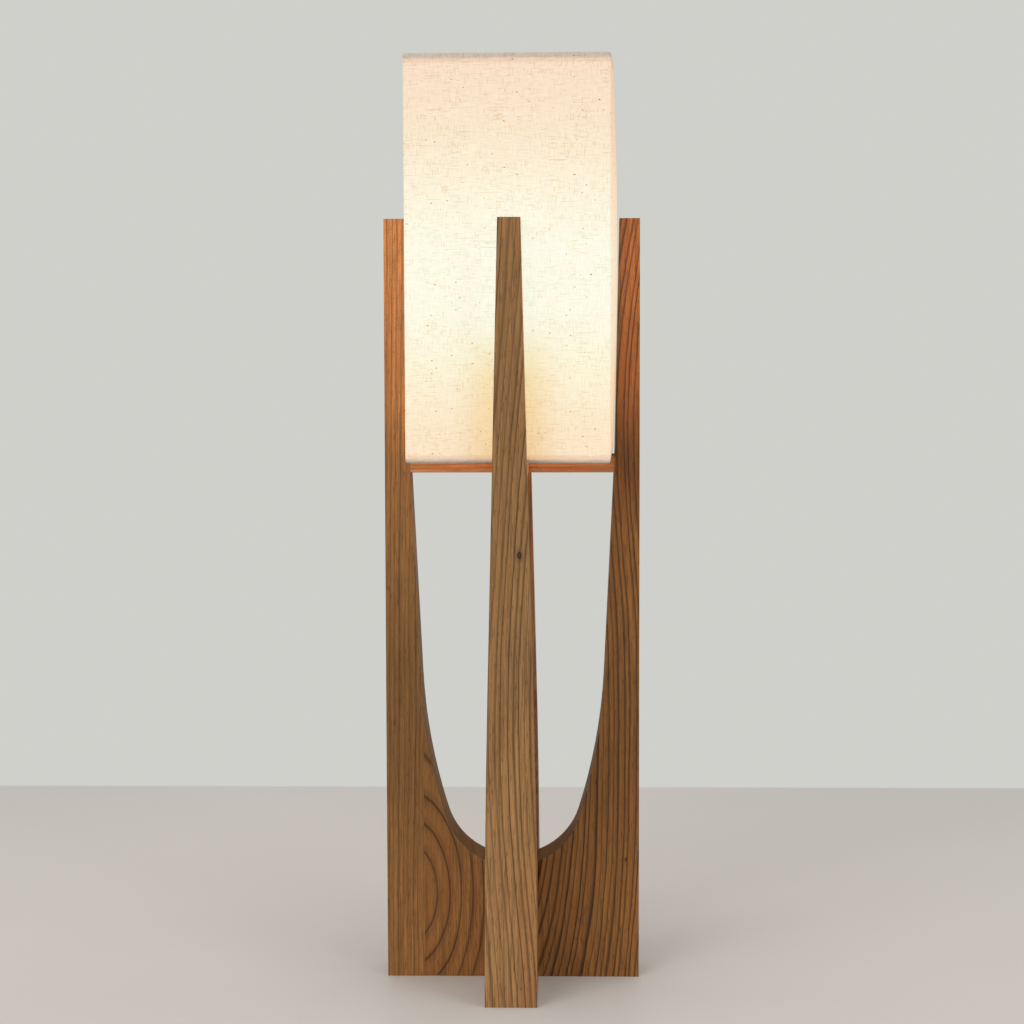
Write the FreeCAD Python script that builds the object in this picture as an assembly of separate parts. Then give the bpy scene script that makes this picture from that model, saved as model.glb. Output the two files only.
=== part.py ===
"""Andon floor lamp: two U-shaped wooden panels crossed at the middle, a square linen shade set between
their uprights on two crossbars, and a bulb holder on the crossing of the bars.

Millimetres. The origin is the centre of the base on the floor, +Z is up, -Y is the front, +X the right.
"""

import FreeCAD
import Part
import math
import os

vec = FreeCAD.Vector

# Wooden panels
frame_width = 250.0
frame_height = 752.0
foot_thickness = 50.0
top_thickness = 21.5
thickness_ease_height = 300.0
stave_width = 36.7
panel_halving_height = 56.0

# Arch sawn in each panel
arch_bottom_height = 112.5
arch_bottom_radius = 68.6
arch_side_radius = 557.0
arch_spring_height = 300.0
arch_spring_width = 181.2
crossbar_gap = 200.1
top_gap = 210.4

# Crossbars
crossbar_underside = 504.0
crossbar_height = 16.2

# Dowels
panel_dowel_diameter = 8.0
panel_dowel_length = 40.0
panel_dowel_inset = 20.0
stave_dowel_count = 3
stave_dowel_spacing = 60.0
panel_dowel_spread = foot_thickness / 3
crossbar_dowel_diameter = 6.0
crossbar_dowel_length = 24.0
crossbar_dowel_spacing = 16.0
dowel_end_room = 1.5
glue_gap = 0.05

# Shade
shade_width = 194.6
shade_height = 384.5
shade_corner_radius = 5.0
shade_bow = 5.0
shade_turn_angle = 1.8
shade_offset = 0.7
fabric_thickness = 0.6
lining_thickness = 0.4
ring_wire_diameter = 3.2
rolled_edge_height = fabric_thickness + ring_wire_diameter

# Threaded nipple, nut, washer and cord bushing
nipple_diameter = 10.0
nipple_bore = 7.0
nipple_hole_clearance = 0.1
nipple_grip = 6.0
nut_across_flats = 14.0
nut_height = 3.0
washer_diameter = 20.0
washer_thickness = 1.2
nipple_end_length = 4.0
bushing_collar_diameter = 12.0
bushing_wall = 0.5
bushing_spigot_length = 3.0
bushing_collar_length = 2.0

# Bulb holder
holder_diameter = 39.0
holder_wall = 2.0
holder_cap_height = 20.0
holder_cap_base_diameter = 26.0
holder_cap_round = 9.0
insert_seat_height = 10.0
insert_flange_thickness = 3.0
insert_lower_length = 2.0
insert_lower_diameter = 24.0
insert_top_height = 24.0
holder_clearance = 0.2
skirt_height = 34.0
skirt_lip_width = 4.0
skirt_lip_thickness = 2.0
screw_shell_bore = 26.6
screw_shell_wall = 0.4
screw_shell_height = 22.0
screw_shell_floor_hole = 15.0
contact_width = 6.0
contact_length = 11.0
contact_thickness = 0.4
contact_rise = 3.0
terminal_screw_diameter = 3.0
terminal_screw_length = 6.0
terminal_head_diameter = 5.0
terminal_head_height = 1.5
terminal_screw_spacing = 15.0

# Bulb
bulb_seat_gap = 0.2
tip_diameter = 9.6
tip_height = 1.2
insulator_height = 4.8
insulator_top_diameter = 23.6
bulb_cap_diameter = 25.8
bulb_cap_wall = 0.5
bulb_cap_height = 21.0
bulb_neck_diameter = 28.0
bulb_housing_height = 42.0
bulb_housing_wall = 1.5
bulb_diameter = 60.0
bulb_globe_straight = 12.0
bulb_globe_wall = 1.2
led_board_thickness = 1.6
driver_board_width = 18.0
driver_board_height = 24.0
driver_board_thickness = 1.6

# Every cut runs past the solid that it cuts by this much
overrun = 5.0

centre_line = vec(0, 0, 1)
crossbar_top = crossbar_underside + crossbar_height


def polygon(points):
    """A face from (x, z) points in the plane y = 0."""
    corners = [vec(x, 0, z) for x, z in points]
    return Part.Face(Part.makePolygon(corners + corners[:1]))


def revolved(points):
    """A full turn about the vertical centre line of a closed outline of (radius, height) points."""
    return polygon(points).revolve(vec(0, 0, 0), centre_line, 360)


def traced(points):
    """A face from (x, z) points in the plane y = 0, where a point marked "arc" is one that an arc
    between its two neighbours passes through."""
    loop = points + points[:1]
    edges = []
    for before, point, after in zip(loop, loop[1:], loop[2:] + loop[1:2]):
        if len(point) > 2:
            through = [vec(x, 0, z) for x, z in (before[:2], point[:2], after[:2])]
            edges.append(Part.Arc(*through).toShape())
        elif len(before) == 2:
            ends = [vec(x, 0, z) for x, z in (before, point)]
            edges.append(Part.LineSegment(*ends).toShape())
    return Part.Face(Part.Wire(edges))


def cylinder(diameter, length, start, direction=centre_line):
    return Part.makeCylinder(diameter / 2, length, start, direction)


def tube(outer, inner, bottom, top):
    solid = cylinder(outer, top - bottom, vec(0, 0, bottom))
    hole = cylinder(inner, top - bottom + 2 * overrun, vec(0, 0, bottom - overrun))
    return solid.cut(hole)


def block(low, high):
    """A box between two corners."""
    size = high - low
    return Part.makeBox(size.x, size.y, size.z, low)


def quarter_turned(shape):
    """The shape turned a quarter turn, from along X to along Y, with its left end to the back."""
    turned = shape.copy()
    turned.rotate(vec(0, 0, 0), centre_line, -90)
    return turned


# Outline of the panels


def ease_thickness():
    """Thickness of a panel where the straight taper of its faces meets the curve to the foot."""
    share = thickness_ease_height / 2 / (frame_height - thickness_ease_height)
    return (foot_thickness + share * top_thickness) / (1 + share)


def thickness_at(height):
    """Thickness of a panel at a height above the floor."""
    if height < thickness_ease_height:
        share = height / thickness_ease_height
        return foot_thickness + share**2 * (ease_thickness() - foot_thickness)
    share = (height - thickness_ease_height) / (frame_height - thickness_ease_height)
    return ease_thickness() + share * (top_thickness - ease_thickness())


def eased_edge(side):
    """The curve of a panel's face: upright at the foot, and in line with the taper at its top."""
    foot = vec(0, side * foot_thickness / 2, 0)
    control = vec(0, side * foot_thickness / 2, thickness_ease_height / 2)
    top = vec(0, side * ease_thickness() / 2, thickness_ease_height)
    curve = Part.BezierCurve()
    curve.setPoles([foot, control, top])
    return curve


def panel_slab():
    """The slab that a panel along X is sawn from, with its tapered and eased faces."""
    foot = foot_thickness / 2
    start = ease_thickness() / 2
    top = top_thickness / 2
    edges = [
        eased_edge(1),
        Part.LineSegment(vec(0, start, thickness_ease_height), vec(0, top, frame_height)),
        Part.LineSegment(vec(0, top, frame_height), vec(0, -top, frame_height)),
        Part.LineSegment(vec(0, -top, frame_height), vec(0, -start, thickness_ease_height)),
        eased_edge(-1),
        Part.LineSegment(vec(0, -foot, 0), vec(0, foot, 0)),
    ]
    face = Part.Face(Part.Wire([edge.toShape() for edge in edges]))
    face.translate(vec(-frame_width / 2, 0, 0))
    return face.extrude(vec(frame_width, 0, 0))


def arch_lean():
    """Slope of the arch's straight sides, as sideways run for each unit of height."""
    return (crossbar_gap - arch_spring_width) / 2 / (crossbar_underside - arch_spring_height)


def arch_half_width(height):
    """Half the gap between opposite uprights, at or above the straight sides of the arch."""
    if height <= crossbar_top:
        return arch_spring_width / 2 + arch_lean() * (height - arch_spring_height)
    share = (height - crossbar_top) / (frame_height - crossbar_top)
    return arch_half_width(crossbar_top) + share * (top_gap / 2 - arch_half_width(crossbar_top))


def arch_outline():
    """The arch, from its top left corner down and round to its top right corner.

    A bottom arc runs into a larger arc on each side, which runs into a straight side.
    """
    bottom_centre = arch_bottom_height + arch_bottom_radius
    lean = math.atan(arch_lean())
    # The side arc's centre lies one side radius from the straight side, and the difference of the
    # radii from the bottom arc's centre.
    foot_x = arch_half_width(bottom_centre)
    reach = arch_side_radius - arch_bottom_radius
    offset = foot_x * math.cos(lean) - arch_side_radius
    along = math.sqrt(reach**2 - offset**2)
    side_x = offset * math.cos(lean) + along * math.sin(lean)
    side_z = bottom_centre - offset * math.sin(lean) + along * math.cos(lean)
    spring = vec(
        side_x + arch_side_radius * math.cos(lean), 0, side_z - arch_side_radius * math.sin(lean)
    )
    slope = math.atan2(side_z - bottom_centre, -side_x)
    join = vec(
        arch_bottom_radius * math.cos(slope), 0, bottom_centre - arch_bottom_radius * math.sin(slope)
    )
    half = (slope + lean) / 2
    middle = vec(
        side_x + arch_side_radius * math.cos(half), 0, side_z - arch_side_radius * math.sin(half)
    )
    waist = vec(arch_half_width(crossbar_top), 0, crossbar_top)
    tip = vec(top_gap / 2, 0, frame_height)

    def left(point):
        return vec(-point.x, 0, point.z)

    bottom = vec(0, 0, arch_bottom_height)
    return [
        Part.LineSegment(left(tip), left(waist)),
        Part.LineSegment(left(waist), left(spring)),
        Part.Arc(left(spring), left(middle), left(join)),
        Part.Arc(left(join), bottom, join),
        Part.Arc(join, middle, spring),
        Part.LineSegment(spring, waist),
        Part.LineSegment(waist, tip),
    ]


def panel():
    """One U-shaped panel along X, before it is halved over the other."""
    half = frame_width / 2
    left_top = vec(-half, 0, frame_height)
    left_foot = vec(-half, 0, 0)
    right_foot = vec(half, 0, 0)
    right_top = vec(half, 0, frame_height)
    outside = [
        Part.LineSegment(vec(top_gap / 2, 0, frame_height), right_top),
        Part.LineSegment(right_top, right_foot),
        Part.LineSegment(right_foot, left_foot),
        Part.LineSegment(left_foot, left_top),
        Part.LineSegment(left_top, vec(-top_gap / 2, 0, frame_height)),
    ]
    wire = Part.Wire([edge.toShape() for edge in arch_outline() + outside])
    face = Part.Face(wire)
    face.translate(vec(0, -foot_thickness / 2 - overrun, 0))
    outline = face.extrude(vec(0, foot_thickness + 2 * overrun, 0))
    return outline.common(panel_slab())


def below(height):
    """Everything under a height, as wide as the frame."""
    reach = frame_width / 2 + overrun
    return block(vec(-reach, -reach, -overrun), vec(reach, reach, height))


def side_panel():
    """The panel along X, slotted from above for the other."""
    slot = quarter_turned(panel_slab()).cut(below(panel_halving_height))
    return panel().cut(slot)


def front_panel():
    """The panel along Y, slotted from below, which sits over the side panel."""
    slot = panel_slab().common(below(panel_halving_height))
    return quarter_turned(panel()).cut(slot)


# Boards of the side panel are cut at these places along X, and those of the front panel along Y

stave_line = frame_width / 2 - stave_width


def boards(whole, cuts, along_y):
    """The panel split by planes at the given places along its length."""
    half = frame_width / 2 + overrun
    top = frame_height + overrun
    ends = [-half] + cuts + [half]
    pieces = []
    for start, end in zip(ends[:-1], ends[1:]):
        low = vec(-half, start, -overrun) if along_y else vec(start, -half, -overrun)
        high = vec(half, end, top) if along_y else vec(end, half, top)
        pieces.append(whole.common(block(low, high)))
    return pieces


# Dowels


def stave_dowel_heights():
    return [panel_dowel_inset + place * stave_dowel_spacing for place in range(stave_dowel_count)]


def dowels_along(axis, middles, diameter, length):
    """Dowels of one size, each centred on its place."""
    return [cylinder(diameter, length, middle - axis * (length / 2), axis) for middle in middles]


def side_dowel_places():
    """Middles of the dowels in the side panel: across the stave's glue line and the middle joint."""
    places = [vec(-stave_line, 0, height) for height in stave_dowel_heights()]
    for side in (-1, 1):
        places.append(vec(0, side * panel_dowel_spread / 2, panel_halving_height / 2))
    return places


def front_dowel_places():
    """Middles of the dowels in the front panel, in the same pattern above the slot."""
    places = [vec(0, stave_line, height) for height in stave_dowel_heights()]
    middle = (panel_halving_height + arch_bottom_height) / 2
    for side in (-1, 1):
        places.append(vec(side * panel_dowel_spread / 2, 0, middle))
    return places


def panel_dowels():
    side = dowels_along(vec(1, 0, 0), side_dowel_places(), panel_dowel_diameter, panel_dowel_length)
    front = dowels_along(vec(0, 1, 0), front_dowel_places(), panel_dowel_diameter, panel_dowel_length)
    return side, front


def panel_dowel_holes():
    diameter = panel_dowel_diameter + 2 * glue_gap
    length = panel_dowel_length + 2 * dowel_end_room
    side = dowels_along(vec(1, 0, 0), side_dowel_places(), diameter, length)
    front = dowels_along(vec(0, 1, 0), front_dowel_places(), diameter, length)
    return side, front


def crossbar_dowel_places():
    """Middles of the dowels between the side crossbar and its uprights."""
    height = crossbar_underside + crossbar_height / 2
    reach = arch_half_width(height)
    return [
        vec(end * reach, side * crossbar_dowel_spacing / 2, height) for end in (-1, 1) for side in (-1, 1)
    ]


def crossbar_dowels(diameter, length):
    """The dowels at the ends of the side crossbar."""
    return dowels_along(vec(1, 0, 0), crossbar_dowel_places(), diameter, length)


def crossbar_dowel_holes():
    diameter = crossbar_dowel_diameter + 2 * glue_gap
    length = crossbar_dowel_length + 2 * dowel_end_room
    return crossbar_dowels(diameter, length)


# Crossbars


def crossbar():
    """A bar along X between two uprights, flush with their faces, its ends cut to their slope."""
    half = thickness_at(crossbar_top) / 2
    low_end = arch_half_width(crossbar_underside)
    high_end = arch_half_width(crossbar_top)
    bar = polygon([
        (-low_end, crossbar_underside),
        (low_end, crossbar_underside),
        (high_end, crossbar_top),
        (-high_end, crossbar_top),
    ])
    bar.translate(vec(0, -half, 0))
    return bar.extrude(vec(0, 2 * half, 0))


def halved(bar, upper):
    """The bar with half its height cut away where the other crosses it."""
    half = thickness_at(crossbar_top) / 2
    middle = crossbar_underside + crossbar_height / 2
    low = middle if upper else crossbar_underside - overrun
    high = crossbar_top + overrun if upper else middle
    notch = block(vec(-half, -half, low), vec(half, half, high))
    hole = cylinder(
        nipple_diameter + 2 * nipple_hole_clearance,
        crossbar_height + 2 * overrun,
        vec(0, 0, crossbar_underside - overrun),
    )
    return bar.cut(notch).cut(hole)


# Shade


def shade_outline(inset, bow, height):
    """The shade's outline at a height: a square with rounded corners, each side bowed out by an arc."""
    half = shade_width / 2 - inset
    corner = shade_corner_radius - inset
    run = half - corner
    bend_middle = run + corner * math.cos(math.pi / 4)
    start = vec(half, -run, height)
    end = vec(half, run, height)
    if bow:
        side = Part.Arc(start, vec(half + bow, 0, height), end)
    else:
        side = Part.LineSegment(start, end)
    bend = Part.Arc(end, vec(bend_middle, bend_middle, height), vec(run, half, height))
    edges = []
    for quarter in range(4):
        for curve in (side, bend):
            edge = curve.toShape()
            edge.rotate(vec(0, 0, 0), centre_line, 90 * quarter)
            edges.append(edge)
    return Part.Wire(edges)


def shade_prism(inset, bottom, top):
    """A straight prism of the shade's outline, for the stretches held straight by the wire rings."""
    return Part.Face(shade_outline(inset, 0, bottom)).extrude(vec(0, 0, top - bottom))


def shade_bulge(inset):
    """The space inside the wall between the two rolled edges, bowed out most at middle height."""
    bottom = crossbar_top + rolled_edge_height
    middle = crossbar_top + shade_height / 2
    top = crossbar_top + shade_height - rolled_edge_height
    sections = [
        shade_outline(inset, 0, bottom),
        shade_outline(inset, shade_bow, middle),
        shade_outline(inset, 0, top),
    ]
    return Part.makeLoft(sections, True)


def placed_shade(shape):
    """The shade stands a little turned and off centre between the uprights."""
    shape.rotate(vec(0, 0, 0), centre_line, -shade_turn_angle)
    shape.translate(vec(shade_offset, 0, 0))
    return shape


def rolled_edge():
    """The linen rolled round the bottom ring: a channel, open to the inside of the wall above it."""
    bottom = crossbar_top
    top = bottom + rolled_edge_height
    inner = 2 * fabric_thickness + ring_wire_diameter
    roll = shade_prism(0, bottom, top).cut(shade_prism(inner, bottom - overrun, top + overrun))
    outer_groove = shade_prism(fabric_thickness, bottom + fabric_thickness, top + overrun)
    inner_groove = shade_prism(inner - fabric_thickness, bottom, top + 2 * overrun)
    return roll.cut(outer_groove.cut(inner_groove))


def upside_down(shape):
    """The shape mirrored from the shade's bottom edge to its top edge."""
    return shape.mirror(vec(0, 0, crossbar_top + shade_height / 2), centre_line)


def shade_fabric():
    wall = shade_bulge(0).cut(shade_bulge(fabric_thickness))
    edge = rolled_edge()
    return placed_shade(wall.fuse(edge).fuse(upside_down(edge)))


def shade_lining():
    inside = shade_bulge(fabric_thickness + lining_thickness)
    return placed_shade(shade_bulge(fabric_thickness).cut(inside))


def shade_ring():
    """The square wire ring inside the bottom rolled edge: four bars and four bends."""
    inset = fabric_thickness + ring_wire_diameter / 2
    height = crossbar_top + inset
    half = shade_width / 2 - inset
    bend_radius = shade_corner_radius - inset
    run = half - bend_radius
    bar = cylinder(ring_wire_diameter, 2 * run, vec(half, -run, height), vec(0, 1, 0))
    bend = Part.makeTorus(
        bend_radius, ring_wire_diameter / 2, vec(run, run, height), centre_line, 0, 360, 90
    )
    pieces = []
    for quarter in range(4):
        for piece in (bar, bend):
            turned = piece.copy()
            turned.rotate(vec(0, 0, 0), centre_line, 90 * quarter)
            pieces.append(turned)
    return placed_shade(pieces[0].fuse(pieces[1:]).removeSplitter())


# Threaded nipple with its nut, washer and cord bushing


def nipple_bottom():
    return crossbar_underside - washer_thickness - nut_height - nipple_end_length


def threaded_nipple():
    return tube(nipple_diameter, nipple_bore, nipple_bottom(), crossbar_top + nipple_grip)


def nipple_washer():
    bore = nipple_diameter + 2 * nipple_hole_clearance
    return tube(washer_diameter, bore, crossbar_underside - washer_thickness, crossbar_underside)


def nipple_nut():
    top = crossbar_underside - washer_thickness
    bottom = top - nut_height
    corner_radius = nut_across_flats / math.sqrt(3)
    corners = []
    for corner in range(6):
        angle = corner * math.pi / 3
        corners.append(vec(corner_radius * math.cos(angle), corner_radius * math.sin(angle), bottom))
    outline = Part.makePolygon(corners + corners[:1])
    hexagon = Part.Face(outline).extrude(vec(0, 0, nut_height))
    return hexagon.cut(cylinder(nipple_diameter, nut_height + 2 * overrun, vec(0, 0, bottom - overrun)))


def cord_bushing():
    """A plastic bushing in the nipple's lower end, where the cord comes in."""
    low = nipple_bottom()
    bore = nipple_bore - 2 * bushing_wall
    collar = tube(bushing_collar_diameter, bore, low - bushing_collar_length, low)
    spigot = tube(nipple_bore, bore, low, low + bushing_spigot_length)
    return collar.fuse(spigot).removeSplitter()


# Bulb holder


def holder_cap():
    """The holder's lower shell: a rounded cup on the crossbars, with a thick floor for the nipple."""
    outer = holder_diameter / 2
    inner = outer - holder_wall
    base = holder_cap_base_diameter / 2
    seat = inner - holder_wall
    floor = crossbar_top
    nipple = nipple_diameter / 2
    round_share = 1 - math.cos(math.pi / 4)
    return traced([
        (nipple, floor),
        (base, floor),
        (outer - round_share * (outer - base), floor + round_share * holder_cap_round, "arc"),
        (outer, floor + holder_cap_round),
        (outer, floor + holder_cap_height),
        (inner, floor + holder_cap_height),
        (inner, floor + insert_seat_height),
        (seat, floor + insert_seat_height),
        (seat, floor + nipple_grip),
        (nipple, floor + nipple_grip),
    ]).revolve(vec(0, 0, 0), centre_line, 360)


def screw_places():
    return [vec(side * terminal_screw_spacing / 2, 0, 0) for side in (-1, 1)]


def terminal_screws():
    """Two cheese-head screws up into the insert's underside."""
    face = crossbar_top + insert_seat_height - insert_lower_length
    screws = []
    for place in screw_places():
        bottom = place + vec(0, 0, face - terminal_head_height)
        head = cylinder(terminal_head_diameter, terminal_head_height, bottom)
        shank = cylinder(terminal_screw_diameter, terminal_screw_length, place + vec(0, 0, face))
        screws.append(head.fuse(shank).removeSplitter())
    return Part.makeCompound(screws)


def holder_insert():
    """The insulating core: its flange is held between cap and skirt, its top carries the shell."""
    flange = holder_diameter / 2 - holder_wall - holder_clearance
    lower = insert_lower_diameter / 2
    upper = screw_shell_bore / 2 + screw_shell_wall
    seat = crossbar_top + insert_seat_height
    solid = revolved([
        (0, seat - insert_lower_length),
        (lower, seat - insert_lower_length),
        (lower, seat),
        (flange, seat),
        (flange, seat + insert_flange_thickness),
        (upper, seat + insert_flange_thickness),
        (upper, crossbar_top + insert_top_height),
        (0, crossbar_top + insert_top_height),
    ])
    return solid.cut(terminal_screws())


def holder_skirt():
    """The upper shell: a spigot down into the cap onto the insert's flange, a wall, and a lip."""
    outer = holder_diameter / 2
    inner = outer - holder_wall
    spigot = inner - holder_clearance
    bore = inner - holder_wall
    low = crossbar_top + insert_seat_height + insert_flange_thickness
    joint = crossbar_top + holder_cap_height
    top = joint + skirt_height
    lip = outer - skirt_lip_width
    return revolved([
        (bore, low),
        (spigot, low),
        (spigot, joint),
        (outer, joint),
        (outer, top),
        (lip, top),
        (lip, top - skirt_lip_thickness),
        (inner, top - skirt_lip_thickness),
        (inner, joint + holder_wall),
        (bore, joint + holder_wall),
    ])


def screw_shell():
    """The brass cup that the bulb screws into, open in its floor for the centre contact."""
    bore = screw_shell_bore / 2
    low = crossbar_top + insert_top_height
    return revolved([
        (screw_shell_floor_hole / 2, low),
        (bore + screw_shell_wall, low),
        (bore + screw_shell_wall, low + screw_shell_height),
        (bore, low + screw_shell_height),
        (bore, low + screw_shell_wall),
        (screw_shell_floor_hole / 2, low + screw_shell_wall),
    ])


def centre_contact():
    """A bent strip: a flat foot on the insert and a tongue folded back up to the bulb's tip."""
    low = crossbar_top + insert_top_height
    end = contact_length / 2
    tongue_end = -tip_diameter / 4
    strip = polygon([
        (-end, low),
        (end, low),
        (end, low + contact_rise / 2),
        (tongue_end, low + contact_rise),
        (tongue_end, low + contact_rise - contact_thickness),
        (end - contact_thickness, low + contact_rise / 2 - contact_thickness),
        (end - contact_thickness, low + contact_thickness),
        (-end, low + contact_thickness),
    ])
    strip.translate(vec(0, -contact_width / 2, 0))
    return strip.extrude(vec(0, contact_width, 0))


# Bulb, from its tip up


def bulb_tip_bottom():
    return crossbar_top + insert_top_height + contact_rise + bulb_seat_gap


def bulb_cap_bottom():
    return bulb_tip_bottom() + tip_height + insulator_height


def bulb_housing_bottom():
    return bulb_cap_bottom() + bulb_cap_height


def bulb_housing_top():
    return bulb_housing_bottom() + bulb_housing_height


def bulb_tip_contact():
    return cylinder(tip_diameter, tip_height, vec(0, 0, bulb_tip_bottom()))


def bulb_insulator():
    low = bulb_tip_bottom() + tip_height
    return Part.makeCone(tip_diameter / 2, insulator_top_diameter / 2, insulator_height, vec(0, 0, low))


def bulb_cap():
    """The bulb's screw cap: a thin cup on the insulator."""
    outer = bulb_cap_diameter / 2
    inner = outer - bulb_cap_wall
    low = bulb_cap_bottom()
    return revolved([
        (0, low),
        (outer, low),
        (outer, low + bulb_cap_height),
        (inner, low + bulb_cap_height),
        (inner, low + bulb_cap_wall),
        (0, low + bulb_cap_wall),
    ])


def bulb_housing():
    """The bulb's flared plastic body, a cup that carries the driver, the LED board and the globe."""
    low = bulb_housing_bottom()
    top = bulb_housing_top()
    neck = bulb_neck_diameter / 2
    rim = bulb_diameter / 2 - bulb_globe_wall / 2
    middle = (neck + rim) / 2 - bulb_housing_wall
    height = (low + top) / 2
    wall = bulb_housing_wall
    return traced([
        (0, low),
        (neck, low),
        (middle, height, "arc"),
        (rim, top),
        (rim - wall, top),
        (middle - wall, height + wall / 2, "arc"),
        (neck - wall, low + wall),
        (0, low + wall),
    ]).revolve(vec(0, 0, 0), centre_line, 360)


def driver_board():
    half = driver_board_width / 2
    low = bulb_housing_bottom() + bulb_housing_wall
    thick = driver_board_thickness / 2
    return block(vec(-half, -thick, low), vec(half, thick, low + driver_board_height))


def led_board():
    """A disc that drops into the top of the housing and lies on the flare of its wall."""
    rim = bulb_diameter / 2 - bulb_globe_wall / 2 - bulb_housing_wall
    top = bulb_housing_top()
    disc = cylinder(2 * rim, led_board_thickness, vec(0, 0, top - led_board_thickness))
    return disc.cut(bulb_housing())


def bulb_globe():
    """The opal globe: a short straight wall and half a sphere."""
    outer = bulb_diameter / 2
    inner = outer - bulb_globe_wall
    low = bulb_housing_top()
    shoulder = low + bulb_globe_straight
    slant = math.cos(math.pi / 4)
    return traced([
        (inner, low),
        (outer, low),
        (outer, shoulder),
        (outer * slant, shoulder + outer * slant, "arc"),
        (0, shoulder + outer),
        (0, shoulder + inner),
        (inner * slant, shoulder + inner * slant, "arc"),
        (inner, shoulder),
    ]).revolve(vec(0, 0, 0), centre_line, 360)


# The whole lamp, piece by piece


def wooden_pieces():
    side_holes, front_holes = panel_dowel_holes()
    side_dowels, front_dowels = panel_dowels()
    bar_holes = crossbar_dowel_holes()
    back_bar_holes = [quarter_turned(hole) for hole in bar_holes]
    left_stave, left_web, right_board = boards(side_panel(), [-stave_line, 0], False)
    front_board, back_web, back_stave = boards(front_panel(), [0, stave_line], True)
    side_bar = halved(crossbar(), False)
    front_bar = halved(quarter_turned(crossbar()), True)
    bar_dowels = crossbar_dowels(crossbar_dowel_diameter, crossbar_dowel_length)
    bar_dowels += [quarter_turned(dowel) for dowel in bar_dowels]
    return {
        "left_stave": left_stave.cut(side_holes + bar_holes),
        "left_web": left_web.cut(side_holes + bar_holes),
        "right_board": right_board.cut(side_holes + bar_holes),
        "front_board": front_board.cut(front_holes + back_bar_holes),
        "back_web": back_web.cut(front_holes + back_bar_holes),
        "back_stave": back_stave.cut(front_holes + back_bar_holes),
        "side_crossbar": side_bar.cut(bar_holes),
        "front_crossbar": front_bar.cut(back_bar_holes),
        "panel_dowels": Part.makeCompound(side_dowels + front_dowels),
        "crossbar_dowels": Part.makeCompound(bar_dowels),
    }


def lamp_pieces():
    bottom_ring = shade_ring()
    return {
        "shade_fabric": shade_fabric(),
        "shade_lining": shade_lining(),
        "bottom_ring": bottom_ring,
        "top_ring": upside_down(bottom_ring),
        "threaded_nipple": threaded_nipple(),
        "nipple_nut": nipple_nut(),
        "nipple_washer": nipple_washer(),
        "cord_bushing": cord_bushing(),
        "holder_cap": holder_cap(),
        "holder_insert": holder_insert(),
        "holder_skirt": holder_skirt(),
        "screw_shell": screw_shell(),
        "centre_contact": centre_contact(),
        "terminal_screws": terminal_screws(),
        "bulb_tip_contact": bulb_tip_contact(),
        "bulb_insulator": bulb_insulator(),
        "bulb_cap": bulb_cap(),
        "bulb_housing": bulb_housing(),
        "driver_board": driver_board(),
        "led_board": led_board(),
        "bulb_globe": bulb_globe(),
    }


os.makedirs("parts", exist_ok=True)
for name, shape in {**wooden_pieces(), **lamp_pieces()}.items():
    shape.exportStep(f"parts/{name}.step")
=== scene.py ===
"""Looks of an andon floor lamp: two crossed U-shaped wooden panels that hold a square linen shade.

Metres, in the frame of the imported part: the origin is the centre of the base on the floor, +Z is up,
-Y is the front and +X the right.
"""

import math

import bmesh
import bpy
from mathutils import Matrix, Vector, noise


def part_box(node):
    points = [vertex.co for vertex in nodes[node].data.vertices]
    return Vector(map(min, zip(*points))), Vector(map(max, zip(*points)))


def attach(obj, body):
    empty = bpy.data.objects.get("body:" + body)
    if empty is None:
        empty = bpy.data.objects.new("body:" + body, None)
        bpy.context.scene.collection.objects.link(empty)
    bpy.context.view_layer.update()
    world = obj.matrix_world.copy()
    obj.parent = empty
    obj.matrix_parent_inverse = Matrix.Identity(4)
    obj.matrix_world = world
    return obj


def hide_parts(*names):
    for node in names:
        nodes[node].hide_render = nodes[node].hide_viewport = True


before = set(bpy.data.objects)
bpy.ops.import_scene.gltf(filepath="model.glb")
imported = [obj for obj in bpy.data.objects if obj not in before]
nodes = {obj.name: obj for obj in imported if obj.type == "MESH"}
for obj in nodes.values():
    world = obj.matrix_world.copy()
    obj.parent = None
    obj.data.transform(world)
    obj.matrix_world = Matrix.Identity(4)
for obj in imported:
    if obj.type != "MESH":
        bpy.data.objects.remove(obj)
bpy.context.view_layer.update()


# Camera
# A long lens just below the height of the uprights' tops and a little to the right of the middle,
# looking slightly down, as in the photograph.

camera_place = Vector((0.05544, -2.34633, 0.72118))
camera_yaw = math.radians(1.366)
camera_pitch = math.radians(5.55)
camera_roll = math.radians(-0.16)
film_width = 36
film_shift = -0.0293
lens_length = 83.858

camera_data = bpy.data.cameras.new("camera")
camera_data.sensor_width = film_width
camera_data.shift_y = film_shift
camera_data.lens = lens_length
camera = bpy.data.objects.new("camera", camera_data)
camera.matrix_world = (
    Matrix.Translation(camera_place)
    @ Matrix.Rotation(camera_yaw, 4, "Z")
    @ Matrix.Rotation(math.pi / 2 - camera_pitch, 4, "X")
    @ Matrix.Rotation(camera_roll, 4, "Z")
)
bpy.context.scene.collection.objects.link(camera)
bpy.context.scene.camera = camera
bpy.context.scene.view_settings.view_transform = "Standard"


# Room
# A plain pale floor that ends in a pale wall. The wall is the far part of the same sheet, and above
# the horizon the world's colour goes on from it. Two soft lamps and the white world light it.

floor_reach = 6.0
wall_distance = 0.818
wall_edge_softness = 0.004
world_light = 0.79
lamp_middle = (0, 0, 0.4)
key_place = (-1.6, -2.4, 2.2)
key_width = 1.8
key_power = 35
fill_place = (2.6, -2.3, 1.5)
fill_width = 1.6
fill_power = 27


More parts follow.
